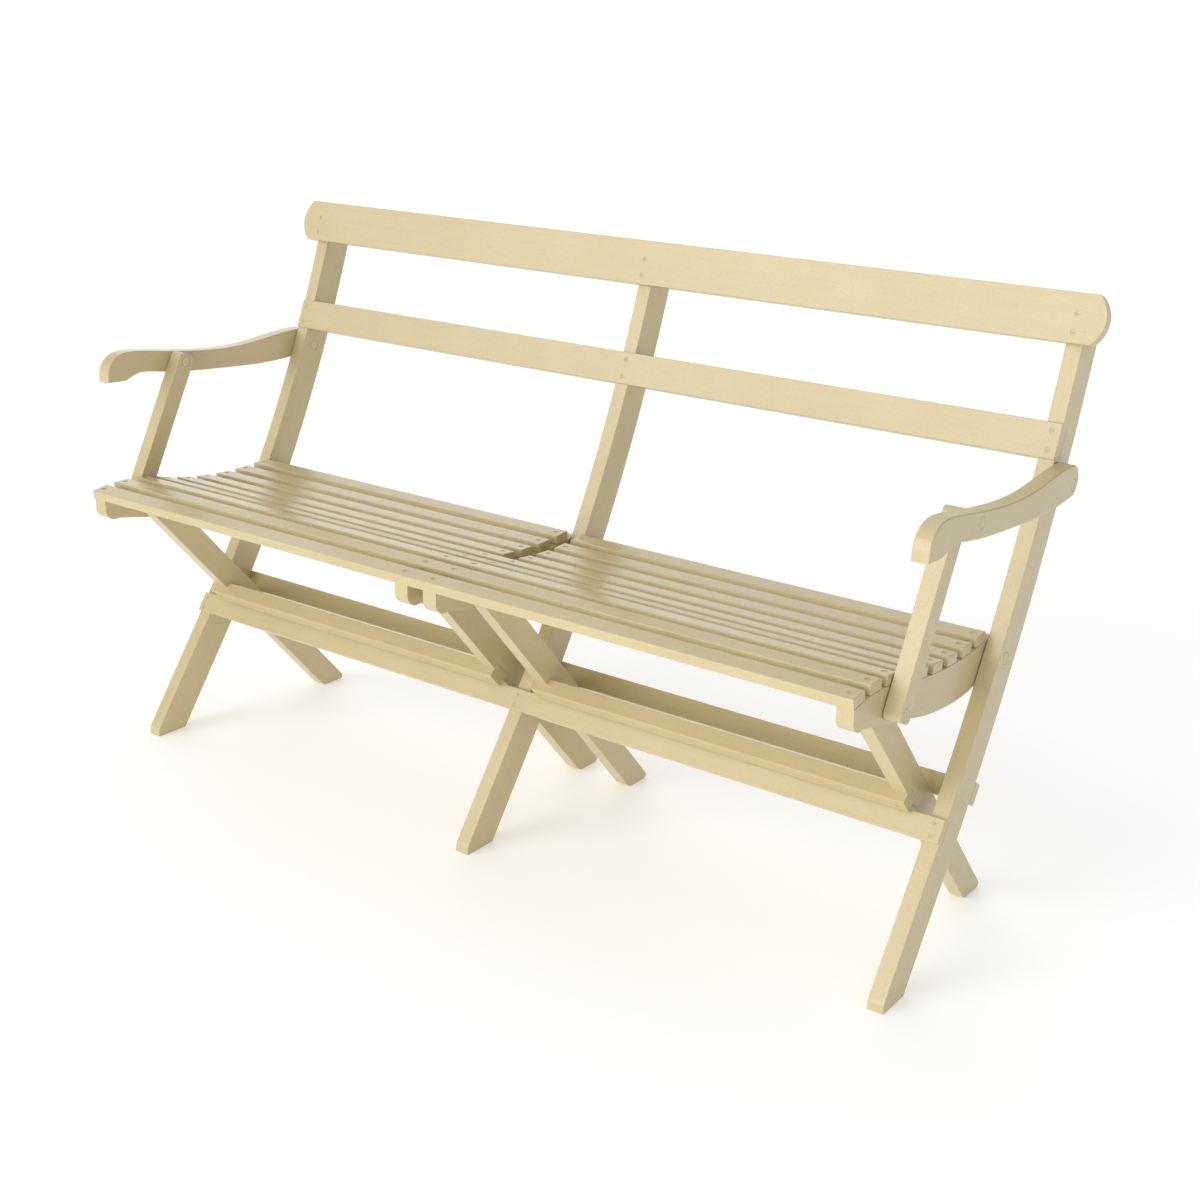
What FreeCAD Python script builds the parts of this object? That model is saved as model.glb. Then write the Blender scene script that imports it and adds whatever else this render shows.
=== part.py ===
import FreeCAD, Part
import Sketcher
import math
import os

# Folding garden bench with arms, 1.5 m long.
# The frame is +X to the sitter's left end, +Y to the rear, +Z up, in millimetres.
# The origin lies on the floor under the middle of the bench's bounding box.
# Side views are drawn as (y, z) pairs in the plane X = 0, with y counted from the measured
# side view's own zero; SHIFT moves them so that the origin is central.

DIMENSIONS = {
    "bench_length": (1440, "outer face to outer face of the end stiles"),
    "board": (24, "thickness of stiles, bearers, legs, arms and supports"),
    "layer_gap": (1, "side clearance between boards that turn past each other"),
    "arris": (1, "easing of the boards' long edges"),
    "arm_arris": (1.8, "rounding of the arms' edges"),
    "stile_foot_y": (-179.8, "front line of the stile where it meets the floor"),
    "stile_lean": (35.2, "lean of the stile's straight lower part, degrees from vertical"),
    "stile_bend_start": (231.1, "length of the straight part along the front"),
    "stile_bend_radius": (2450, "front radius of the bent upper part"),
    "stile_length": (1002.1, "length along the front edge"),
    "stile_width_low": (56, "width of the leg part"),
    "stile_width_high": (53, "width at the head"),
    "toe_height": (13, "height of the upright toe cut"),
    "toe_round": (5, "length of the rounding on each side of the toe's corner"),
    "toe_reach": (8.7, "set-back of the toe from the stile's front line at the floor"),
    "top_rail_drop": (28.2, "from the stile's head down to the middle of the top rail"),
    "top_rail_width": (69, "height of the top rail's board"),
    "top_rail_thick": (16, "thickness of the top rail"),
    "top_rail_seat": (2, "depth that the top rail is let in"),
    "top_rail_overhang": (30, "reach past the end stile's outer face"),
    "top_rail_bow": (16, "rise of the curved ends of the top rail"),
    "top_screw_high": (5, "upper screw of the top rail above its middle"),
    "top_screw_low": (20, "lower screw of the top rail below its middle"),
    "lower_rail_centre": (806.3, "centre of the lower back rail along the stile's front"),
    "lower_rail_width": (50.5, "height of the lower back rail"),
    "lower_rail_thick": (18, "thickness of the lower back rail"),
    "lower_rail_seat": (15, "depth that the lower back rail is let in"),
    "front_bar_centre": (255.1, "centre of the front stretcher along the stile's front"),
    "front_bar_width": (34, "height of the front stretcher"),
    "front_bar_thick": (14, "thickness of the front stretcher"),
    "front_bar_seat": (7, "depth that the front stretcher is let in"),
    "rear_bar_centre": (324.6, "centre of the rear stretcher along the stile's front"),
    "rear_bar_width": (31, "height of the rear stretcher"),
    "rear_bar_thick": (17, "thickness of the rear stretcher"),
    "seat_pivot_y": (118.5, "seat pivot, from front to rear"),
    "seat_pivot_z": (412.5, "seat pivot, height"),
    "arm_rise_y": (113.5, "arm pivot behind the seat pivot"),
    "arm_rise_z": (224.5, "arm pivot above the seat pivot"),
    "front_pivot_y": (-180.5, "front pivot of the seat, which the support and the leg share"),
    "front_pivot_z": (426, "front pivot of the seat, height"),
    "slat_width": (28, "width of a seat slat"),
    "slat_thick": (15, "thickness of a seat slat"),
    "slat_pitch": (43.6, "distance from slat to slat"),
    "first_slat_y": (-261.5, "centre of the front slat"),
    "slat_arris": (1.5, "easing of the slats' edges"),
    "crest_y": (-215, "highest point of the seat"),
    "crest_z": (476, "height of the seat's highest point"),
    "crest_radius": (300, "radius of the seat's rounded front"),
    "dish_radius": (660, "radius of the seat's hollow"),
    "dish_slope": (14.3, "steepest slope of the seat, degrees"),
    "split_gap": (29, "gap between the split slats, which the middle stile passes"),
    "bearer_nose_y": (-271, "front face of the bearers"),
    "bearer_end_radius": (27, "round end of the bearers behind the seat pivot"),
    "leg_width": (42, "width of the crossing legs"),
    "leg_offset": (7, "distance of the leg's middle line behind its pivot"),
    "leg_play": (3.5, "play between the legs and the front stretcher's rear edge"),
    "leg_toe_round": (9, "length of the rounding at the front of the leg's foot"),
    "leg_heel_round": (13, "length of the rounding at the rear of the leg's foot"),
    "batten_along": (231, "centre of the batten along the leg from its pivot"),
    "batten_width": (30, "width of the batten that joins two legs"),
    "batten_thick": (24, "thickness of the batten"),
    "batten_proud": (14, "how far the batten stands in front of the legs"),
    "support_width": (31, "width of the arm supports"),
    "support_top_reach": (13, "length of the support above its upper pivot"),
    "support_foot_reach": (11, "length of the support below its lower pivot"),
    "support_corner": (9, "rounding of the support's corners"),
    "bolt_radius": (4, "shank radius of the pivot bolts"),
    "running_play": (0.08, "radial play of a board that turns on a bolt"),
    "head_radius": (8, "radius of the bolt heads"),
    "head_thick": (4.5, "thickness of the bolt heads"),
    "plug_radius": (9, "radius of the wooden plugs and their counterbores"),
    "plug_thick": (3.5, "thickness of the wooden plugs"),
    "plug_groove": (0.7, "width of the open joint round a plug"),
    "plug_groove_depth": (1.2, "depth of the open joint round a plug"),
    "end_play": (0.35, "play at a bolt's head and nut"),
    "washer_thick": (1.5, "thickness of the washers"),
    "nut_thick": (6.5, "thickness of the nuts"),
    "nut_flats": (13, "size of the nuts across their flats"),
    "screw_head_radius": (4.2, "radius of the wood screws' heads"),
    "screw_radius": (1.9, "radius of the wood screws' shanks"),
    "screw_length": (30, "length of the wood screws"),
    "screw_sink": (0.8, "depth of the screw heads below the wood"),
    "screw_dimple": (1.1, "radius of the recess in the screw heads"),
    "tip_reach": (1, "length of a bolt past its nut"),
}

doc = FreeCAD.newDocument("FoldingBench")
sheet = doc.addObject("Spreadsheet::Sheet", "Sizes")
for row, (name, (value, note)) in enumerate(DIMENSIONS.items(), start=1):
    sheet.set("A%d" % row, name)
    sheet.set("B%d" % row, str(value))
    sheet.set("C%d" % row, note)
    sheet.setAlias("B%d" % row, name)
doc.recompute()


def size(name):
    """The sheet's value for a name."""
    return float(getattr(sheet, name))


V = FreeCAD.Vector
BOARD = size("board")
GAP = size("layer_gap")
HALF = size("bench_length") / 2
LAYER = BOARD + GAP
X_STILE = HALF - BOARD / 2
X_ARM = X_STILE + LAYER
X_BEARER = X_STILE - LAYER
X_LEG = X_BEARER - LAYER
X_INNER_BEARER = size("split_gap") / 2 + BOARD / 2
X_INNER_LEG = X_INNER_BEARER + LAYER
STILES = {"left": -X_STILE, "middle": 0.0, "right": X_STILE}
ENDS = {"left": -1, "right": 1}

finished = {}


def add(a, b, k=1.0):
    """Point a moved by k times b, in the side view."""
    return (a[0] + k * b[0], a[1] + k * b[1])


def toward(angle):
    """Unit step in the side view; 0 degrees points to the rear and 90 degrees up."""
    return (math.cos(math.radians(angle)), math.sin(math.radians(angle)))


# Side view of the stile: a straight foot part and a bent upper part.
LEAN = size("stile_lean")
FOOT = (size("stile_foot_y"), 0.0)
BEND = add(FOOT, toward(90 - LEAN), size("stile_bend_start"))
BEND_CENTRE = add(BEND, toward(180 - LEAN), size("stile_bend_radius"))


def stile_front(along):
    """Point and lean of the stile's front line at a length from the floor."""
    past = along - size("stile_bend_start")
    if past <= 0:
        return add(FOOT, toward(90 - LEAN), along), LEAN
    turned = LEAN - math.degrees(past / size("stile_bend_radius"))
    return add(BEND_CENTRE, toward(-turned), size("stile_bend_radius")), turned


def stile_point(along, depth):
    """Point of the stile at a length along its front and a depth behind it."""
    point, lean = stile_front(along)
    return add(point, toward(-lean), depth)


SEAT_PIVOT = (size("seat_pivot_y"), size("seat_pivot_z"))
RISE = (size("arm_rise_y"), size("arm_rise_z"))
ARM_PIVOT = add(SEAT_PIVOT, RISE)
FRONT_PIVOT = (size("front_pivot_y"), size("front_pivot_z"))
SUPPORT_PIVOT = add(FRONT_PIVOT, RISE)

# The leg hangs from the front pivot and passes just behind the front stretcher's upper rear edge.
GUIDE = stile_point(size("front_bar_centre") + size("front_bar_width") / 2, size("front_bar_seat"))
REACH = math.hypot(GUIDE[0] - FRONT_PIVOT[0], GUIDE[1] - FRONT_PIVOT[1])
FALL = math.degrees(math.atan2(FRONT_PIVOT[1] - GUIDE[1], GUIDE[0] - FRONT_PIVOT[0]))
LEG_FORE = size("leg_width") / 2 - size("leg_offset")
LEG_AFT = size("leg_width") / 2 + size("leg_offset")
LEG_ANGLE = FALL - math.degrees(math.asin((LEG_FORE + size("leg_play")) / REACH))
LEG_DOWN = toward(-LEG_ANGLE)
LEG_FRONT = toward(-LEG_ANGLE - 90)

# Side view of the seat: a rounded front that runs over into a shallow hollow.
SLOPE = math.radians(size("dish_slope"))
CREST = (size("crest_y"), size("crest_z"))
TURN_Y = CREST[0] + size("crest_radius") * math.sin(SLOPE)
TURN_Z = CREST[1] - size("crest_radius") * (1 - math.cos(SLOPE))
DISH_CENTRE = (TURN_Y + size("dish_radius") * math.sin(SLOPE), TURN_Z + size("dish_radius") * math.cos(SLOPE))


def seat_top(y):
    """Height and slope, in degrees, of the seat's top line."""
    if y < TURN_Y:
        angle = math.asin((CREST[0] - y) / size("crest_radius"))
        return CREST[1] - size("crest_radius") * (1 - math.cos(angle)), math.degrees(angle)
    angle = math.asin((y - DISH_CENTRE[0]) / size("dish_radius"))
    return DISH_CENTRE[1] - size("dish_radius") * math.cos(angle), math.degrees(angle)


SLAT_COUNT = 9
FULL_SLATS = 5
SLATS = []
for number in range(SLAT_COUNT):
    slat_y = size("first_slat_y") + number * size("slat_pitch")
    slat_z, slat_tilt = seat_top(slat_y)
    SLATS.append(((slat_y, slat_z), slat_tilt))

# The front-to-rear extent runs from the front slat to the head of the stiles.
FRONT_MOST = add(add(SLATS[0][0], toward(SLATS[0][1]), -size("slat_width") / 2),
                 toward(SLATS[0][1] + 90), -size("slat_thick"))[0]
FRONT_MOST = min(FRONT_MOST, add(SLATS[0][0], toward(SLATS[0][1]), -size("slat_width") / 2)[0])
REAR_MOST = stile_point(size("stile_length"), size("stile_width_high"))[0]
SHIFT = -(FRONT_MOST + REAR_MOST) / 2


def place(point, x=0.0):
    """Side-view point as a 3-D point of the finished bench."""
    return V(x, point[0] + SHIFT, point[1])


def finish(obj, label):
    """Name the finished object of a sub-part."""
    obj.Label = label
    finished[label] = obj
    return obj


def origin_plane(body, role):
    return [item for item in body.Origin.OriginFeatures if item.Role == role][0]


def attach(body, role, label):
    sketch = body.newObject("Sketcher::SketchObject", label + "_sketch")
    sketch.AttachmentSupport = [(origin_plane(body, role), "")]
    sketch.MapMode = "FlatFace"
    return sketch


def ease(body, pad, label, expression, chosen):
    """Round the pad's edges for which chosen(edge) holds."""
    doc.recompute()
    names = ["Edge%d" % (i + 1) for i, edge in enumerate(pad.Shape.Edges) if chosen(edge)]
    fillet = body.newObject("PartDesign::Fillet", label + "_arris")
    fillet.Base = (pad, names)
    fillet.setExpression("Radius", expression)
    body.Tip = fillet
    return fillet


def board(label, length, width, thick, arris, bow=None):
    """Flat board with eased edges, lying on XY and centred; sizes are sheet expressions."""
    body = doc.addObject("PartDesign::Body", label + "_body")
    sketch = attach(body, "XY_Plane", label)
    corners = [V(-1, -1, 0), V(1, -1, 0), V(1, 1, 0), V(-1, 1, 0)]
    for start, end in zip(corners, corners[1:] + corners[:1]):
        sketch.addGeometry(Part.LineSegment(start * 10, end * 10))
    for i in range(4):
        sketch.addConstraint(Sketcher.Constraint("Coincident", i, 2, (i + 1) % 4, 1))
    for i in (0, 2):
        sketch.addConstraint(Sketcher.Constraint("Horizontal", i))
        sketch.addConstraint(Sketcher.Constraint("Vertical", i + 1))
    sketch.addConstraint(Sketcher.Constraint("Symmetric", 0, 1, 1, 2, -1, 1))
    across = sketch.addConstraint(Sketcher.Constraint("DistanceX", 0, 1, 0, 2, 20))
    upward = sketch.addConstraint(Sketcher.Constraint("DistanceY", 1, 1, 1, 2, 20))
    sketch.setExpression("Constraints[%d]" % across, length + (" - 2 * %s" % bow if bow else ""))
    sketch.setExpression("Constraints[%d]" % upward, width)
    if bow:
        bow_ends(sketch, width, bow)
    pad = body.newObject("PartDesign::Pad", label + "_pad")
    pad.Profile = sketch
    pad.setExpression("Length", thick)
    ease(body, pad, label, arris, lambda edge: is_rim(edge, pad.Shape.BoundBox))
    return body


def bow_ends(sketch, width, bow):
    """Turn the short sides of a board's sketch into arcs that rise by bow."""
    for side, upper, lower in ((1, (1, 2), (1, 1)), (3, (3, 1), (3, 2))):
        outward = 1 if side == 1 else -1
        arc_id = sketch.addGeometry(Part.Arc(V(10 * outward, -10, 0), V(13 * outward, 0, 0), V(10 * outward, 10, 0)))
        sketch.toggleConstruction(side)
        low_end, high_end = (1, 2) if outward > 0 else (2, 1)
        sketch.addConstraint(Sketcher.Constraint("Coincident", arc_id, high_end, *upper))
        sketch.addConstraint(Sketcher.Constraint("Coincident", arc_id, low_end, *lower))
        ends = ((arc_id, 3), upper) if outward > 0 else (upper, (arc_id, 3))
        inset = sketch.addConstraint(Sketcher.Constraint("DistanceX", *ends[0], *ends[1], 15))
        sketch.setExpression("Constraints[%d]" % inset, "((%s) ^ 2 / 4 - %s ^ 2) / (2 * %s)" % (width, bow, bow))


def is_rim(edge, box):
    """True for an edge that lies in the board's lower or upper face."""
    middle = edge.valueAt((edge.FirstParameter + edge.LastParameter) / 2)
    ends = [edge.valueAt(edge.FirstParameter), middle, edge.valueAt(edge.LastParameter)]
    return any(max(abs(p.z - level) for p in ends) < 1e-4 for level in (box.ZMin, box.ZMax))


def is_side_rim(edge):
    """True for an edge of the outline, in either side face of an upright board."""
    ends = [edge.valueAt(edge.FirstParameter), edge.valueAt(edge.LastParameter)]
    ends.append(edge.valueAt((edge.FirstParameter + edge.LastParameter) / 2))
    return max(abs(abs(p.x) - BOARD / 2) for p in ends) < 1e-4


def flat(point):
    """Side-view point in an outline sketch, whose axes are Y and Z."""
    return V(point[0] + SHIFT, point[1], 0)


def line(a, b):
    return Part.LineSegment(flat(a), flat(b))


def arc(a, middle, b):
    return Part.Arc(flat(a), flat(middle), flat(b))


def rounded(a, corner, b):
    """Arc from a to b that is tangent to both sides of a corner; a and b are equally far from it."""
    to_a = (a[0] - corner[0], a[1] - corner[1])
    to_b = (b[0] - corner[0], b[1] - corner[1])
    reach = math.hypot(*to_a)
    halved = (to_a[0] + to_b[0], to_a[1] + to_b[1])
    spread = math.hypot(*halved)
    half_angle = math.acos(spread / (2 * reach))
    depth = reach / math.cos(half_angle) - reach * math.tan(half_angle)
    return arc(a, add(corner, halved, depth / spread), b)


def spline(points):
    curve = Part.BSplineCurve()
    curve.interpolate([flat(p) for p in points])
    return curve


LONG_EDGE = 100.0


def upright(label, edges, shortest=0.0, arris="Sizes.arris"):
    """Board cut to a side-view outline on the plane X = 0; edges longer than shortest are eased."""
    body = doc.addObject("PartDesign::Body", label + "_body")
    sketch = attach(body, "YZ_Plane", label)
    for edge in edges:
        sketch.addGeometry(edge)
    pad = body.newObject("PartDesign::Pad", label + "_pad")
    pad.Profile = sketch
    pad.setExpression("Length", "Sizes.board")
    pad.Midplane = True
    ease(body, pad, label, arris, lambda edge: is_side_rim(edge) and edge.Length > shortest)
    return body


def round_bar(x, point, radius, length):
    """Cylinder along X, centred on x."""
    start = place(point, x - length / 2)
    return Part.makeCylinder(radius, length, start, V(1, 0, 0))


HEAD_ROOM = size("plug_thick") + size("head_thick") + 2 * size("end_play")
NUT_ROOM = size("plug_thick") + size("tip_reach") + size("nut_thick") + size("washer_thick") + 2 * size("end_play")


def counterbore(x, side, point, depth=HEAD_ROOM):
    """Round recess in one face of a board for a bolt's head or nut and its plug."""
    outer = x + side * BOARD / 2
    return Part.makeCylinder(size("plug_radius"), depth, place(point, outer), V(-side, 0, 0))


def cut(label, base, tools):
    """Base with tools taken away, as one boolean feature."""
    doc.recompute()
    room = base.Shape.BoundBox
    near = [shape for shape in tools if room.intersect(shape.BoundBox)]
    tool = doc.addObject("Part::Feature", label + "_tools")
    tool.Shape = near[0].multiFuse(near[1:]) if len(near) > 1 else near[0]
    result = doc.addObject("Part::Cut", label + "_cut")
    result.Base = base
    result.Tool = tool
    return finish(result, label)


def moved(body, x):
    """Slide an upright board to its place along X."""
    body.Placement = FreeCAD.Placement(V(x, 0, 0), FreeCAD.Rotation())
    return body


TIGHT = size("bolt_radius")
LOOSE = TIGHT + size("running_play")


# Rails and stretchers. Each is a board whose lower face rests in its housing on the stiles.
def rail_placement(along, depth, outward):
    """Placement of a board whose lower face lies at a depth behind the stile's front."""
    point, lean = stile_front(along)
    point = add(point, toward(-lean), depth)
    tilt = 90 - lean if outward else -90 - lean
    return FreeCAD.Placement(place(point), FreeCAD.Rotation(V(1, 0, 0), tilt))


def rail_block(along, width, near, far):
    """Box across the whole bench between two depths behind the stile's front."""
    point, lean = stile_front(along)
    base = add(add(point, toward(-lean), near), toward(90 - lean), -width / 2)
    block = Part.makeBox(4 * HALF, far - near, width, V(-2 * HALF, 0, 0))
    block.Placement = FreeCAD.Placement(place(base), FreeCAD.Rotation(V(1, 0, 0), -lean))
    return block


RAILS = {
    "top_rail": ("top_rail", "Sizes.bench_length + 2 * Sizes.top_rail_overhang", size("top_rail_seat"), True),
    "lower_back_rail": ("lower_rail", "Sizes.bench_length", size("lower_rail_seat"), True),
    "front_stretcher": ("front_bar", "Sizes.bench_length", size("front_bar_seat"), True),
    "rear_stretcher": ("rear_bar", "Sizes.bench_length", size("stile_width_low"), False),
}
CENTRES = {"top_rail": size("stile_length") - size("top_rail_drop")}
SCREW_HEIGHTS = {"top_rail": (size("top_screw_high"), -size("top_screw_low"))}
for key in ("lower_rail", "front_bar", "rear_bar"):
    CENTRES[key] = size(key + "_centre")
    SCREW_HEIGHTS[key] = (size(key + "_width") * 0.27, -size(key + "_width") * 0.27)


def screw(point, direction):
    """Countersunk wood screw from the surface point into the wood."""
    head_depth = size("screw_head_radius") - size("screw_radius")
    start = point + direction * size("screw_sink")
    head = Part.makeCone(size("screw_head_radius"), size("screw_radius"), head_depth, start, direction)
    dimple = size("screw_dimple")
    head = head.cut(Part.makeCone(dimple, dimple / 3, dimple, start, direction))
    shank_start = start + direction * head_depth
    shank = Part.makeCylinder(size("screw_radius"), size("screw_length") - head_depth, shank_start, direction)
    return head.fuse(shank).removeSplitter()


def screw_way(point, direction):
    """Hole for one screw, with its open countersink."""
    head_depth = size("screw_head_radius") - size("screw_radius")
    start = point + direction * size("screw_sink")
    mouth = Part.makeCylinder(size("screw_head_radius"), size("screw_sink"), point, direction)
    sink = Part.makeCone(size("screw_head_radius"), size("screw_radius"), head_depth, start, direction)
    shank = Part.makeCylinder(size("screw_radius"), size("screw_length") - head_depth, start + direction * head_depth, direction)
    return mouth.fuse([sink, shank])


frame_screws = []
frame_ways = []
for rail_name, (key, _, _, outward) in RAILS.items():
    along = CENTRES[key]
    lean = stile_front(along)[1]
    if outward:
        face = size(key + "_seat") - size(key + "_thick")
        inward = V(0, math.cos(math.radians(lean)), -math.sin(math.radians(lean)))
    else:
        face = size("stile_width_low") + size(key + "_thick")
        inward = V(0, -math.cos(math.radians(lean)), math.sin(math.radians(lean)))
    for x in STILES.values():
        for height in SCREW_HEIGHTS[key]:
            spot = add(stile_front(along)[0], toward(-lean), face)
            start = place(add(spot, toward(90 - lean), height), x)
            frame_screws.append(screw(start, inward))
            frame_ways.append(screw_way(start, inward))

for rail_name, (key, length, seat, outward) in RAILS.items():
    bow = "Sizes.top_rail_bow" if rail_name == "top_rail" else None
    rail = board(rail_name, length, "Sizes.%s_width" % key, "Sizes.%s_thick" % key, "Sizes.arris", bow)
    rail.Placement = rail_placement(CENTRES[key], seat, outward)
    cut(rail_name, rail, frame_ways)

rail_housings = [
    rail_block(CENTRES[key], size(key + "_width"), -size(key + "_thick"), size(key + "_seat"))
    for key in ("top_rail", "lower_rail", "front_bar")
]


# Stiles: back posts and front feet in one board.
def stile_outline():
    top = size("stile_length")
    low = size("stile_width_low")
    high = size("stile_width_high")
    bend = size("stile_bend_start")
    half_way = (bend + top) / 2
    toe = add(FOOT, (1, 0), size("toe_reach"))
    rise = size("toe_height")
    lean_rate = math.tan(math.radians(LEAN))
    knee = (FOOT[0] + rise * lean_rate, rise)
    heel_depth = low / math.cos(math.radians(LEAN))
    heel = (FOOT[0] + heel_depth, 0.0)
    head_front = stile_point(top, 0)
    head_rear = stile_point(top, high)
    toe_start = add(knee, toward(90 - LEAN), size("toe_round"))
    cut_length = math.hypot(toe[0] - knee[0], toe[1] - knee[1])
    toe_end = add(knee, (toe[0] - knee[0], toe[1] - knee[1]), size("toe_round") / cut_length)
    return [
        line(heel, toe),
        line(toe, toe_end),
        rounded(toe_end, knee, toe_start),
        line(toe_start, BEND),
        arc(BEND, stile_point(half_way, 0), head_front),
        line(head_front, head_rear),
        arc(head_rear, stile_point(half_way, (low + high) / 2 - 1.5), stile_point(bend, low)),
        line(stile_point(bend, low), heel),
    ]


for name, x in STILES.items():
    label = "stile_" + name
    stile = moved(upright(label, stile_outline(), LONG_EDGE), x)
    tools = rail_housings + frame_ways + [round_bar(x, SEAT_PIVOT, TIGHT, 2 * BOARD)]
    if name in ENDS:
        tools.append(round_bar(x, ARM_PIVOT, TIGHT, 2 * BOARD))
        tools.append(counterbore(x, ENDS[name], SEAT_PIVOT))
        tools.append(counterbore(x, -ENDS[name], ARM_PIVOT, NUT_ROOM))
    cut(label, stile, tools)


# Seat: nine slats on four bearers. The rear four are split so that the middle stile passes.
def slat_placement(number, x):
    point, tilt = SLATS[number]
    under = add(point, toward(tilt + 90), -size("slat_thick"))
    return FreeCAD.Placement(place(under, x), FreeCAD.Rotation(V(1, 0, 0), tilt))


BEARERS = {
    "bearer_left_outer": -X_BEARER,
    "bearer_left_inner": -X_INNER_BEARER,
    "bearer_right_inner": X_INNER_BEARER,
    "bearer_right_outer": X_BEARER,
}
seat_screws = []
seat_ways = []
for point, tilt in SLATS:
    down = V(0, math.sin(math.radians(tilt)), -math.cos(math.radians(tilt)))
    for x in BEARERS.values():
        start = place(point, x)
        seat_screws.append(screw(start, down))
        seat_ways.append(screw_way(start, down))

OUTER_END = "Sizes.bench_length - 2 * Sizes.board - 2 * Sizes.layer_gap"
half_centre = (X_BEARER + BOARD / 2 + size("split_gap") / 2) / 2
for number in range(SLAT_COUNT):
    ways = seat_ways[number * len(BEARERS):(number + 1) * len(BEARERS)]
    if number < FULL_SLATS:
        spans = {"seat_slat_%d" % (number + 1): (OUTER_END, 0.0)}
    else:
        half_length = "(%s - Sizes.split_gap) / 2" % OUTER_END
        spans = {"seat_slat_%d_left" % (number + 1): (half_length, -half_centre),
                 "seat_slat_%d_right" % (number + 1): (half_length, half_centre)}
    for label, (length, x) in spans.items():
        slat = board(label, length, "Sizes.slat_width", "Sizes.slat_thick", "Sizes.slat_arris")
        slat.Placement = slat_placement(number, x)
        cut(label, slat, ways)


def bearer_outline():
    seats = []
    for point, tilt in SLATS:
        under = add(point, toward(tilt + 90), -size("slat_thick"))
        seats.append(add(under, toward(tilt), -size("slat_width") / 2))
        seats.append(add(under, toward(tilt), size("slat_width") / 2))
    nose_y = size("bearer_nose_y")
    tilt = SLATS[0][1]
    first = (nose_y, seats[1][1] + (nose_y - seats[1][0]) * math.tan(math.radians(tilt)))
    top = [first] + seats[1:]
    radius = size("bearer_end_radius")
    end_top = add(SEAT_PIVOT, (0, radius))
    end_low = add(SEAT_PIVOT, toward(-105), radius)
    under_side = [end_low, (75, 377), (22, 373.5), (-24, 376.5), (-70, 383), (-117, 394), (-185, 409.5), (-247, 422)]
    chin = (nose_y, 437)
    edges = [line(a, b) for a, b in zip(top, top[1:])]
    edges.append(line(top[-1], end_top))
    edges.append(arc(end_top, add(SEAT_PIVOT, toward(-7.5), radius), end_low))
    edges.append(spline(under_side))
    edges.append(arc(under_side[-1], (nose_y + 5.5, 427), chin))
    edges.append(line(chin, first))
    return edges


for label, x in BEARERS.items():
    bearer = moved(upright(label, bearer_outline(), LONG_EDGE), x)
    side = 1 if x > 0 else -1
    tools = seat_ways + [round_bar(x, SEAT_PIVOT, LOOSE, 2 * BOARD), round_bar(x, FRONT_PIVOT, TIGHT, 2 * BOARD)]
    if label.endswith("inner"):
        tools.append(counterbore(x, -side, FRONT_PIVOT))
    if label == "bearer_left_inner":
        tools.append(counterbore(x, side, SEAT_PIVOT))
    cut(label, bearer, tools)


# Leg frames: two crossing legs and the batten housed into their front edges.
def leg_outline():
    top_front = add(FRONT_PIVOT, LEG_FRONT, LEG_FORE)
    top_rear = add(FRONT_PIVOT, LEG_FRONT, -LEG_AFT)
    crown = add(add(FRONT_PIVOT, LEG_FRONT, -size("leg_offset")), LEG_DOWN, -size("leg_width") / 2)

    def at_floor(start):
        return (start[0] + start[1] * LEG_DOWN[0] / -LEG_DOWN[1], 0.0)
    front_foot = at_floor(top_front)
    rear_foot = at_floor(top_rear)
    front_up = add(front_foot, LEG_DOWN, -size("leg_toe_round"))
    rear_up = add(rear_foot, LEG_DOWN, -size("leg_heel_round"))
    front_in = add(front_foot, (1, 0), size("leg_toe_round"))
    rear_in = add(rear_foot, (-1, 0), size("leg_heel_round"))
    return [
        line(top_front, front_up),
        rounded(front_up, front_foot, front_in),
        line(front_in, rear_in),
        rounded(rear_in, rear_foot, rear_up),
        line(rear_up, top_rear),
        arc(top_rear, crown, top_front),
    ]


BATTEN_BACK = LEG_FORE + size("batten_proud") - size("batten_thick")
batten_centre = add(add(FRONT_PIVOT, LEG_DOWN, size("batten_along")), LEG_FRONT, BATTEN_BACK)
LEG_TURN = FreeCAD.Rotation(V(1, 0, 0), 180 - LEG_ANGLE)
batten_length = "Sizes.bench_length / 2 - 2 * (Sizes.board + Sizes.layer_gap)" \
    " - Sizes.split_gap / 2 - Sizes.board - Sizes.layer_gap"
batten_x = (X_LEG + BOARD / 2 + X_INNER_LEG - BOARD / 2) / 2
batten_housing = Part.makeBox(4 * HALF, size("batten_width"), 2 * size("batten_thick"),
                              V(-2 * HALF, -size("batten_width") / 2, 0))
batten_housing.Placement = FreeCAD.Placement(place(batten_centre), LEG_TURN)
into_leg = V(0, -LEG_FRONT[0], -LEG_FRONT[1])

for name, side in ENDS.items():
    batten = board("batten_" + name, batten_length, "Sizes.batten_width", "Sizes.batten_thick", "Sizes.arris")
    batten.Placement = FreeCAD.Placement(place(batten_centre, side * batten_x), LEG_TURN)
    batten_screws = []
    batten_ways = []
    for x in (side * X_LEG, side * X_INNER_LEG):
        spot = add(batten_centre, LEG_FRONT, size("batten_thick"))
        start = place(spot, x)
        batten_screws.append(screw(start, into_leg))
        batten_ways.append(screw_way(start, into_leg))
    cut("batten_" + name, batten, batten_ways)
    group = doc.addObject("Part::Feature", "batten_screws_" + name + "_group")
    group.Shape = Part.makeCompound(batten_screws)
    finish(group, "batten_screws_" + name)
    for row, x in (("outer", side * X_LEG), ("inner", side * X_INNER_LEG)):
        label = "leg_%s_%s" % (name, row)
        leg = moved(upright(label, leg_outline(), LONG_EDGE), x)
        cut(label, leg, [batten_housing, round_bar(x, FRONT_PIVOT, LOOSE, 2 * BOARD)] + batten_ways)


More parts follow.
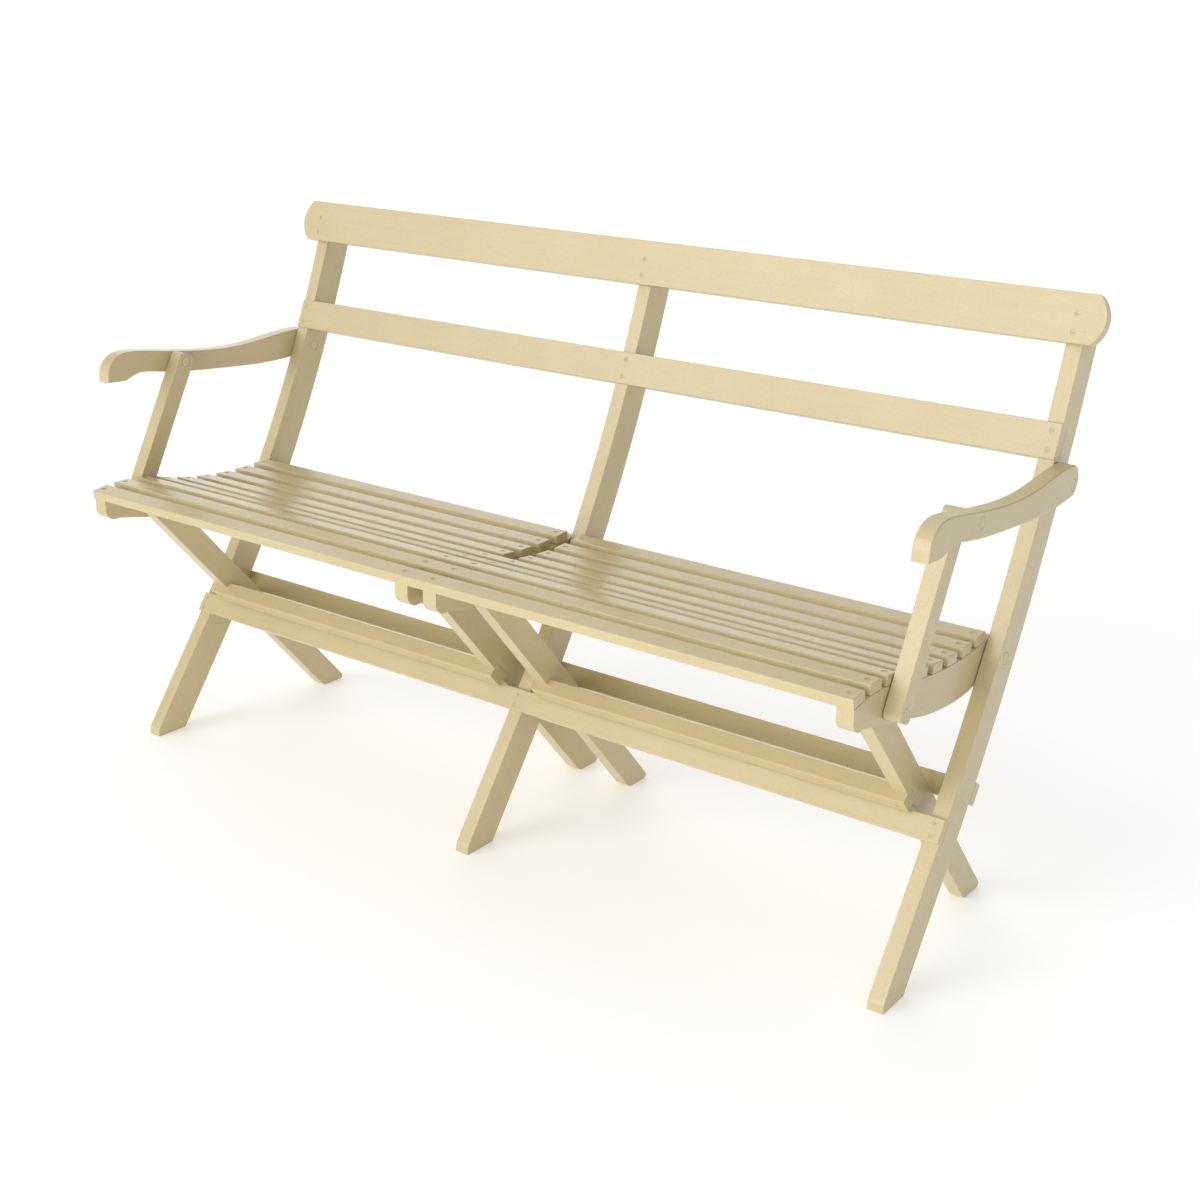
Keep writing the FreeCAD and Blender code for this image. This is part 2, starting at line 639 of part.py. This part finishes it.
# Arms and their supports.
def arm_outline():
    def near(y, z):
        return add(ARM_PIVOT, (y, z))
    top = [near(-441, 6), near(-435, 24), near(-421, 36), near(-397, 40.5), near(-358, 37), near(-284, 26.5),
           near(-204, 18.8), near(-144, 18.5), near(-66, 25.7), near(-8, 29)]
    bottom = [near(0, -16), near(-60, -20.5), near(-116, -20.5), near(-164, -18), near(-243, -12.5),
              near(-303, -6.5), near(-350, 0.8), near(-376, 2.6), near(-392, -1.5), near(-405, -6.5)]
    return [
        spline(top),
        arc(top[-1], near(15.5, 6), bottom[0]),
        spline(bottom),
        line(bottom[-1], near(-442, -5)),
        line(near(-442, -5), top[0]),
    ]


def support_outline():
    half = size("support_width") / 2
    corner = size("support_corner")
    along = (RISE[0] / math.hypot(*RISE), RISE[1] / math.hypot(*RISE))
    across = (along[1], -along[0])
    foot = add(FRONT_PIVOT, along, -size("support_foot_reach"))
    head = add(SUPPORT_PIVOT, along, size("support_top_reach"))
    edges = []
    for end, inward in ((foot, 1), (head, -1)):
        for side in (-1, 1):
            sharp = add(end, across, side * half)
            edges.append(rounded(add(sharp, along, inward * corner), sharp, add(sharp, across, -side * corner)))
        edges.append(line(add(end, across, corner - half), add(end, across, half - corner)))
    for side in (-1, 1):
        edges.append(line(add(add(foot, across, side * half), along, corner),
                          add(add(head, across, side * half), along, -corner)))
    return edges


for name, side in ENDS.items():
    x = side * X_ARM
    arm = moved(upright("arm_" + name, arm_outline(), arris="Sizes.arm_arris"), x)
    cut("arm_" + name, arm, [
        round_bar(x, ARM_PIVOT, LOOSE, 2 * BOARD), round_bar(x, SUPPORT_PIVOT, LOOSE, 2 * BOARD),
        counterbore(x, side, ARM_PIVOT), counterbore(x, side, SUPPORT_PIVOT)])
    x = side * X_STILE
    support = moved(upright("arm_support_" + name, support_outline()), x)
    cut("arm_support_" + name, support, [
        round_bar(x, FRONT_PIVOT, LOOSE, 2 * BOARD), round_bar(x, SUPPORT_PIVOT, TIGHT, 2 * BOARD),
        counterbore(x, side, FRONT_PIVOT), counterbore(x, -side, SUPPORT_PIVOT, NUT_ROOM)])


# Pivot bolts, each with its washer and nut, and the wooden plugs over their heads.
def bolt(label, point, outer, side, stack, sunk=False):
    """Bolt from the board face at outer, through stack millimetres of boards towards -side, its nut sunk or proud."""
    play = size("end_play")
    if sunk:
        stack -= NUT_ROOM
    depth = size("plug_thick") + play
    away = V(-side, 0, 0)

    def at(distance):
        return place(point, outer - side * distance)
    head = Part.makeCylinder(size("head_radius"), size("head_thick"), at(depth), away)
    far = stack + play + size("washer_thick") + size("nut_thick") + size("tip_reach")
    shank = Part.makeCylinder(TIGHT, far - depth, at(depth), away)
    washer = Part.makeCylinder(size("head_radius"), size("washer_thick"), at(stack + play), away)
    washer = washer.cut(Part.makeCylinder(TIGHT, size("washer_thick"), at(stack + play), away))
    nut_at = stack + play + size("washer_thick")
    corner = size("nut_flats") / math.sqrt(3)
    ring = [at(nut_at) + V(0, corner * math.cos(k * math.pi / 3), corner * math.sin(k * math.pi / 3)) for k in range(7)]
    nut = Part.Face(Part.makePolygon(ring)).extrude(away * size("nut_thick"))
    nut = nut.cut(Part.makeCylinder(TIGHT, size("nut_thick"), at(nut_at), away))
    group = doc.addObject("Part::Feature", label + "_group")
    group.Shape = Part.makeCompound([head.fuse(shank).removeSplitter(), washer, nut])
    finish(group, label)


def plugs(label, spots):
    """Wooden plugs, flush with the board faces at spots of (point, outer, side)."""
    shapes = []
    radius = size("plug_radius")
    groove = size("plug_groove")
    depth = size("plug_groove_depth")
    for point, outer, side in spots:
        inward = V(-side, 0, 0)
        plug = Part.makeCylinder(radius, size("plug_thick"), place(point, outer), inward)
        ring = Part.makeCylinder(radius, depth, place(point, outer), inward)
        ring = ring.cut(Part.makeCylinder(radius - groove, depth, place(point, outer), inward))
        shapes.append(plug.cut(ring))
    group = doc.addObject("Part::Feature", label + "_group")
    group.Shape = Part.makeCompound(shapes)
    finish(group, label)


for name, side in ENDS.items():
    arm_face = side * (X_ARM + BOARD / 2)
    stile_face = side * HALF
    bolt("seat_pivot_bolt_" + name, SEAT_PIVOT, stile_face, side, 2 * BOARD + GAP)
    bolt("arm_pivot_bolt_" + name, ARM_PIVOT, arm_face, side, 2 * BOARD + GAP, sunk=True)
    bolt("support_bolt_" + name, SUPPORT_PIVOT, arm_face, side, 2 * BOARD + GAP, sunk=True)
    bolt("front_bolt_" + name, FRONT_PIVOT, stile_face, side, 3 * BOARD + 2 * GAP)
    bolt("inner_leg_bolt_" + name, FRONT_PIVOT, side * size("split_gap") / 2, -side, 2 * BOARD + GAP)
    plugs("arm_plugs_" + name, [(ARM_PIVOT, arm_face, side), (SUPPORT_PIVOT, arm_face, side)])
    plugs("support_plugs_" + name, [(FRONT_PIVOT, stile_face, side), (SUPPORT_PIVOT, side * (HALF - BOARD), -side)])
bolt("seat_pivot_bolt_middle", SEAT_PIVOT, -X_INNER_BEARER - BOARD / 2, -1, size("split_gap") + 2 * BOARD)
plugs("stile_plugs", [(SEAT_PIVOT, HALF, 1), (SEAT_PIVOT, -HALF, -1),
                      (ARM_PIVOT, HALF - BOARD, -1), (ARM_PIVOT, BOARD - HALF, 1)])

for label, shapes in (("frame_screws", frame_screws), ("seat_screws", seat_screws)):
    group = doc.addObject("Part::Feature", label + "_group")
    group.Shape = Part.makeCompound(shapes)
    finish(group, label)

doc.recompute()
problems = [item.Name for item in doc.Objects if "Invalid" in item.State or "Error" in item.State]
for label, obj in finished.items():
    if obj.Shape.isNull() or not obj.Shape.isValid() or not obj.Shape.Solids:
        problems.append(label)
if problems:
    raise RuntimeError("not built: " + ", ".join(problems))

os.makedirs("parts", exist_ok=True)
for label, obj in finished.items():
    obj.Shape.exportStep("parts/%s.step" % label)
whole = Part.makeCompound([obj.Shape for obj in finished.values()]).BoundBox
print("sub-parts %d, box X %.1f..%.1f Y %.1f..%.1f Z %.1f..%.1f" % (
    len(finished), whole.XMin, whole.XMax, whole.YMin, whole.YMax, whole.ZMin, whole.ZMax))
for title, point in (("seat pivot", SEAT_PIVOT), ("arm pivot", ARM_PIVOT), ("front pivot", FRONT_PIVOT),
                     ("support pivot", SUPPORT_PIVOT)):
    print("%s y %.3f z %.3f" % (title, point[0] + SHIFT, point[1]))
print("leg angle %.3f, shift %.3f" % (LEG_ANGLE, SHIFT))
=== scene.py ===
import math

import bpy
from mathutils import Matrix, Vector

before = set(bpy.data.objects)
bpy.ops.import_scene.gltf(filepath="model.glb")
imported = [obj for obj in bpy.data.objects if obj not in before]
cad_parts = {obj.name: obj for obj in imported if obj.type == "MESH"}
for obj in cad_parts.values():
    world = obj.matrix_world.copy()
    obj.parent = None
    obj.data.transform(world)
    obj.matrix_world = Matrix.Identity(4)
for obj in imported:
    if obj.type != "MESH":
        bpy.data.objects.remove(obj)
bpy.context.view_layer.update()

# Paint and metal colours, linear
CREAM = (0.574, 0.482, 0.264)
CREAM_LIGHT = (0.628, 0.535, 0.308)
CREAM_DEEP = (0.482, 0.396, 0.200)
ZINC_LIGHT = (0.55, 0.55, 0.53)
ZINC_DARK = (0.42, 0.42, 0.40)

# Where the grain runs in the side view, degrees above +Y; on the long boards it runs along X
STILE_GRAIN = 55.5
LEG_GRAIN = -46.9
BEARER_GRAIN = 0
ARM_GRAIN = -2
SUPPORT_GRAIN = 64
# Along the grain the noises have this share of the features that they have across it
GRAIN_SQUEEZE = 0.05
# How far a seed of 1 shifts the noises, and the seeds that the long boards take turns with
SEED_SHIFT = (0.731, 1.37, 0.419)
LONG_SEEDS = (1.0, 4.1, 7.2, 10.3)

# Noises: features per metre across the grain, detail and roughness
CLOUDS = (7.0, 3.0, 0.55)
RIPPLES = (46.0, 2.0, 0.5)
STREAKS = (150.0, 4.0, 0.6)
PEEL = (420.0, 2.0, 0.5)
FIBRES = (620.0, 3.0, 0.65)
SCREW_SPOTS = (320.0, 3.0, 0.6)
PLUG_SPOTS = (390.0, 3.0, 0.6)
ZINC_PATCHES = (480.0, 4.0, 0.6)

# The values of each noise between which it comes in
CLOUD_LIMITS = (0.3, 0.7)
STREAK_LIMITS = (0.35, 0.75)
FIBRE_LIMITS = (0.50, 0.72)
PORE_LIMITS = (0.48, 0.70)
GLOSS_LIMITS = (0.35, 0.65)
SPOT_LIMITS = (0.30, 0.65)
PATCH_LIMITS = (0.3, 0.7)

# The share of its own tone that each adds, at most, to the colour of the boards
CREAM_SHARE = 0.72
STREAK_SHARE = 0.40
FIBRE_SHARE = 0.16
PORE_SHARE = 0.40

# Gloss; a pair is the roughness at the two limits of the noise
BOARD_ROUGHNESS = (0.28, 0.32)
SMALL_ROUGHNESS = 0.38
ZINC_ROUGHNESS = (0.28, 0.45)
COAT_WEIGHT = 0.14
COAT_ROUGHNESS = 0.22

# Bumps: strength, and depth in metres; on the boards, streaks and ripples add to the peel by a share
BOARD_BUMPS = (0.22, 0.0006)
SMALL_BUMPS = (0.25, 0.0005)
STREAK_HEIGHT = 0.22
RIPPLE_HEIGHT = 0.25

# The floor
FLOOR_REACH = 400.0
FLOOR_LEVEL = 0.95
FLOOR_ROUGHNESS = 0.9
FLOOR_EMISSION = 0.24

# The lamps: places in metres, power, and the width of the sun in degrees or of the panel in metres
LIT_POINT = (0, 0, 0.45)
KEY_PLACE = (-1.9, -4.2, 2.10)
KEY_POWER = 1.30
KEY_SPREAD = 42
NEAR_PLACE = (0.85, -3.05, 0.85)
NEAR_POWER = 20
NEAR_SIZE = (1.6, 1.0)

# The room: how bright it is at each height of view, from 0, level, to 1, straight up
SKY = ((0.02, 1.0), (0.24, 0.23), (1.0, 0.80))
# The wide glow behind the bench, whose reflection gives the slats their sheen
GLOW_TOWARDS = (-0.74, 0.60, 0.29)
GLOW = (1.55, 1.55, 1.55)
# Its edge and its middle, as the cosine of the angle from its direction
GLOW_LIMITS = (0.72, 1.00)

# The camera, as fitted to the photograph: metres, degrees and millimetres
CAMERA_PLACE = (1.5517, -2.0177, 1.2420)
CAMERA_AZIMUTH = 35.61
CAMERA_ELEVATION = 18.8
CAMERA_ROLL = 1.55
CAMERA_LENS = 51.85
CAMERA_SENSOR = 36.0
CAMERA_SHIFT = (-0.0027, -0.0086)
CAMERA_CLIP_END = 1500


def node(tree, kind, x, y, **values):
    made = tree.nodes.new(kind)
    made.location = (x, y)
    for key, value in values.items():
        setattr(made, key, value)
    return made


def link(tree, start, end):
    tree.links.new(start, end)


def grey(level):
    return (level, level, level, 1)


def mix_colour(tree, factor, first, second, x, y):
    """Colour mix; the factor is a number or a socket, first and second are colours or sockets."""
    made = node(tree, "ShaderNodeMix", x, y, data_type="RGBA")
    for socket, value in ((made.inputs[0], factor), (made.inputs[6], first), (made.inputs[7], second)):
        if hasattr(value, "node"):
            link(tree, value, socket)
        elif isinstance(value, tuple):
            socket.default_value = (*value, 1)
        else:
            socket.default_value = value
    return made.outputs[2]


def ramp(tree, source, limits, x, y, values=(0.0, 1.0)):
    """Linear map of the source between its limits to the values, clamped."""
    made = node(tree, "ShaderNodeMapRange", x, y)
    link(tree, source, made.inputs["Value"])
    for socket, value in zip(("From Min", "From Max", "To Min", "To Max"), (*limits, *values)):
        made.inputs[socket].default_value = value
    return made.outputs["Result"]


def noise(tree, vector, recipe, x, y):
    """Noise with the scale, detail and roughness of the recipe."""
    made = node(tree, "ShaderNodeTexNoise", x, y)
    for socket, value in zip(("Scale", "Detail", "Roughness"), recipe):
        made.inputs[socket].default_value = value
    link(tree, vector, made.inputs["Vector"])
    return made.outputs["Fac"]


def add_share(tree, added, share, ground, x, y):
    """Ground plus a share of added."""
    made = node(tree, "ShaderNodeMath", x, y, operation="MULTIPLY_ADD")
    link(tree, added, made.inputs[0])
    made.inputs[1].default_value = share
    link(tree, ground, made.inputs[2])
    return made.outputs[0]


def raise_bumps(tree, shader, height, bumps, x, y):
    made = node(tree, "ShaderNodeBump", x, y)
    made.inputs["Strength"].default_value, made.inputs["Distance"].default_value = bumps
    link(tree, height, made.inputs["Height"])
    link(tree, made.outputs["Normal"], shader.inputs["Normal"])


def new_material(name):
    """A material and its shader."""
    material = bpy.data.materials.new(name)
    material.use_nodes = True
    return material, material.node_tree.nodes["Principled BSDF"]


def grain_space(tree, angle, seed, x, y):
    """The object's own coordinates, and these turned and squeezed along the grain; angle None means X."""
    coords = node(tree, "ShaderNodeTexCoord", x, y)
    turn = node(tree, "ShaderNodeMapping", x + 180, y, vector_type="POINT")
    link(tree, coords.outputs["Object"], turn.inputs["Vector"])
    scale = [1.0, 1.0, 1.0]
    if angle is None:
        scale[0] = GRAIN_SQUEEZE
    else:
        scale[1] = GRAIN_SQUEEZE
        turn.inputs["Rotation"].default_value = (math.radians(-angle), 0, 0)
    squeeze = node(tree, "ShaderNodeMapping", x + 360, y, vector_type="POINT")
    link(tree, turn.outputs["Vector"], squeeze.inputs["Vector"])
    squeeze.inputs["Scale"].default_value = scale
    squeeze.inputs["Location"].default_value = [seed * step for step in SEED_SHIFT]
    return coords.outputs["Object"], squeeze.outputs["Vector"]


def painted_wood(name, angle, seed):
    """Satin cream paint brushed along the grain of a planed board."""
    material, shader = new_material(name)
    tree = material.node_tree
    plain, along = grain_space(tree, angle, seed, -1500, 0)
    cloud = noise(tree, plain, CLOUDS, -900, 500)
    streak = noise(tree, along, STREAKS, -900, 250)
    fibre = noise(tree, along, FIBRES, -900, 0)
    ripple = noise(tree, along, RIPPLES, -900, -250)
    peel = noise(tree, plain, PEEL, -900, -500)

    clouds = ramp(tree, cloud, CLOUD_LIMITS, -650, 500)
    streaks = ramp(tree, streak, STREAK_LIMITS, -650, 250, (0.0, STREAK_SHARE))
    fibres = ramp(tree, fibre, FIBRE_LIMITS, -650, 0, (0.0, FIBRE_SHARE))
    pores = ramp(tree, peel, PORE_LIMITS, -650, -500, (0.0, PORE_SHARE))
    clouded = mix_colour(tree, clouds, CREAM_DEEP, CREAM_LIGHT, -450, 500)
    base = mix_colour(tree, CREAM_SHARE, clouded, CREAM, -250, 480)
    streaked = mix_colour(tree, streaks, base, CREAM_LIGHT, -80, 460)
    brushed = mix_colour(tree, fibres, streaked, CREAM_DEEP, 90, 440)
    pored = mix_colour(tree, pores, brushed, CREAM_DEEP, 260, 420)
    link(tree, pored, shader.inputs["Base Color"])

    gloss = ramp(tree, peel, GLOSS_LIMITS, -450, -120, BOARD_ROUGHNESS)
    link(tree, gloss, shader.inputs["Roughness"])
    shader.inputs["Coat Weight"].default_value = COAT_WEIGHT
    shader.inputs["Coat Roughness"].default_value = COAT_ROUGHNESS

    skin = add_share(tree, streak, STREAK_HEIGHT, peel, -250, -250)
    waves = add_share(tree, ripple, RIPPLE_HEIGHT, skin, -80, -320)
    raise_bumps(tree, shader, waves, BOARD_BUMPS, 240, -320)
    return material


def painted_small(name, spotting, tone):
    """The same paint on screw heads and plugs, spotted with the tone; the plugs' lighter tone is painted
    light that lifts their recessed heads out of their shade.
    """
    material, shader = new_material(name)
    tree = material.node_tree
    coords = node(tree, "ShaderNodeTexCoord", -900, 0)
    spots = noise(tree, coords.outputs["Object"], spotting, -650, 0)
    shade = mix_colour(tree, ramp(tree, spots, SPOT_LIMITS, -450, 0), CREAM, tone, -250, 0)
    link(tree, shade, shader.inputs["Base Color"])
    shader.inputs["Roughness"].default_value = SMALL_ROUGHNESS
    raise_bumps(tree, shader, spots, SMALL_BUMPS, -200, -300)
    return material


def zinc_plate():
    material, shader = new_material("zinc_plate")
    tree = material.node_tree
    coords = node(tree, "ShaderNodeTexCoord", -900, 0)
    patches = noise(tree, coords.outputs["Object"], ZINC_PATCHES, -650, 0)
    shade = mix_colour(tree, ramp(tree, patches, PATCH_LIMITS, -450, 0), ZINC_DARK, ZINC_LIGHT, -250, 0)
    gloss = ramp(tree, patches, PATCH_LIMITS, -450, -200, ZINC_ROUGHNESS)
    link(tree, shade, shader.inputs["Base Color"])
    link(tree, gloss, shader.inputs["Roughness"])
    shader.inputs["Metallic"].default_value = 1.0
    return material


def wear(obj, material):
    """Gives an object this material in every slot."""
    if obj.data.materials:
        for index in range(len(obj.data.materials)):
            obj.data.materials[index] = material
    else:
        obj.data.materials.append(material)


def finish_nodes(nodes):
    """Zinc for the bolts, paint for everything else, with the grain of each kind of board."""
    long_paints = [painted_wood("paint_long_%d" % i, None, seed) for i, seed in enumerate(LONG_SEEDS)]
    by_word = {
        "bolt": zinc_plate(),
        "screws": painted_small("paint_screws", SCREW_SPOTS, CREAM),
        # The plugs take the lighter cream as painted light, so that their recessed heads don't read as
        # shaded
        "plug": painted_small("paint_plugs_painted_light", PLUG_SPOTS, CREAM_LIGHT),
    }
    by_start = {
        "stile": painted_wood("paint_stile", STILE_GRAIN, seed=5.3),
        "leg": painted_wood("paint_leg", LEG_GRAIN, seed=9.7),
        "bearer": painted_wood("paint_bearer", BEARER_GRAIN, seed=12.1),
        "arm_support": painted_wood("paint_support", SUPPORT_GRAIN, seed=18.4),
        "arm": painted_wood("paint_arm", ARM_GRAIN, seed=15.9),
    }
    # The first that fits a name wins, so that arm_plugs isn't a board and arm_support isn't an arm
    for order, name in enumerate(sorted(nodes)):
        fitting = [material for word, material in by_word.items() if word in name]
        fitting += [material for start, material in by_start.items() if name.startswith(start)]
        fitting.append(long_paints[order % len(long_paints)])
        wear(nodes[name], fitting[0])


def floor():
    """White ground far wider than the bench."""
    mesh = bpy.data.meshes.new("floor")
    corners = [(x * FLOOR_REACH, y * FLOOR_REACH, 0) for x, y in ((-1, -1), (1, -1), (1, 1), (-1, 1))]
    mesh.from_pydata(corners, [], [(0, 1, 2, 3)])
    obj = bpy.data.objects.new("floor", mesh)
    bpy.context.scene.collection.objects.link(obj)
    material, shader = new_material("floor_white")
    shader.inputs["Base Color"].default_value = grey(FLOOR_LEVEL)
    shader.inputs["Roughness"].default_value = FLOOR_ROUGHNESS
    shader.inputs["Emission Color"].default_value = grey(1)
    shader.inputs["Emission Strength"].default_value = FLOOR_EMISSION
    wear(obj, material)


def fill_stops(stops):
    """Puts the sky's heights and levels in a new colour ramp, which starts out with two stops."""
    stops.remove(stops[1])
    stops[0].position = SKY[0][0]
    stops[0].color = grey(SKY[0][1])
    for height, level in SKY[1:]:
        stops.new(height).color = grey(level)


def room():
    """White at the horizon, grey above it and paler again overhead, with a wide glow behind the bench."""
    world = bpy.data.worlds.new("studio")
    bpy.context.scene.world = world
    world.use_nodes = True
    tree = world.node_tree
    coords = node(tree, "ShaderNodeTexCoord", -1100, 0)
    split = node(tree, "ShaderNodeSeparateXYZ", -900, 150)
    link(tree, coords.outputs["Generated"], split.inputs[0])
    sky = node(tree, "ShaderNodeValToRGB", -700, 150)
    link(tree, split.outputs["Z"], sky.inputs["Fac"])
    sky.color_ramp.interpolation = "EASE"
    fill_stops(sky.color_ramp.elements)

    towards = node(tree, "ShaderNodeVectorMath", -900, -200, operation="DOT_PRODUCT")
    link(tree, coords.outputs["Generated"], towards.inputs[0])
    towards.inputs[1].default_value = GLOW_TOWARDS
    glow = ramp(tree, towards.outputs["Value"], GLOW_LIMITS, -700, -200)
    lit = mix_colour(tree, glow, sky.outputs["Color"], GLOW, -300, 0)
    link(tree, lit, tree.nodes["Background"].inputs["Color"])


def aimed(name, data, place):
    """A light at this place that shines at the bench."""
    obj = bpy.data.objects.new(name, data)
    bpy.context.scene.collection.objects.link(obj)
    obj.location = place
    obj.rotation_euler = (Vector(LIT_POINT) - Vector(place)).to_track_quat("-Z", "Y").to_euler()
    return obj


def lamps():
    """A very wide sun from the front left, and a panel in front that lifts the right side."""
    key = bpy.data.lights.new("key", "SUN")
    key.energy = KEY_POWER
    key.angle = math.radians(KEY_SPREAD)
    aimed("key", key, KEY_PLACE)

    near = bpy.data.lights.new("near", "AREA")
    near.shape = "RECTANGLE"
    near.size, near.size_y = NEAR_SIZE
    near.energy = NEAR_POWER
    aimed("near", near, NEAR_PLACE).visible_camera = False


def camera():
    """A camera that looks along its azimuth and elevation, rolled about that direction."""
    data = bpy.data.cameras.new("camera")
    obj = bpy.data.objects.new("camera", data)
    bpy.context.scene.collection.objects.link(obj)
    azimuth = math.radians(CAMERA_AZIMUTH)
    elevation = math.radians(CAMERA_ELEVATION)
    roll = math.radians(CAMERA_ROLL)
    flat = math.cos(elevation)
    forward = Vector((-math.sin(azimuth) * flat, math.cos(azimuth) * flat, -math.sin(elevation)))
    level = forward.cross(Vector((0, 0, 1))).normalized()
    upright = level.cross(forward)
    right = level * math.cos(roll) + upright * math.sin(roll)
    up = right.cross(forward)
    turn = Matrix((right, up, -forward)).transposed().to_4x4()
    obj.matrix_world = Matrix.Translation(Vector(CAMERA_PLACE)) @ turn
    data.sensor_width = CAMERA_SENSOR
    data.lens = CAMERA_LENS
    data.shift_x, data.shift_y = CAMERA_SHIFT
    data.clip_end = CAMERA_CLIP_END
    bpy.context.scene.camera = obj


finish_nodes(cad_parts)
floor()
room()
lamps()
camera()
bpy.context.scene.view_settings.view_transform = "Standard"
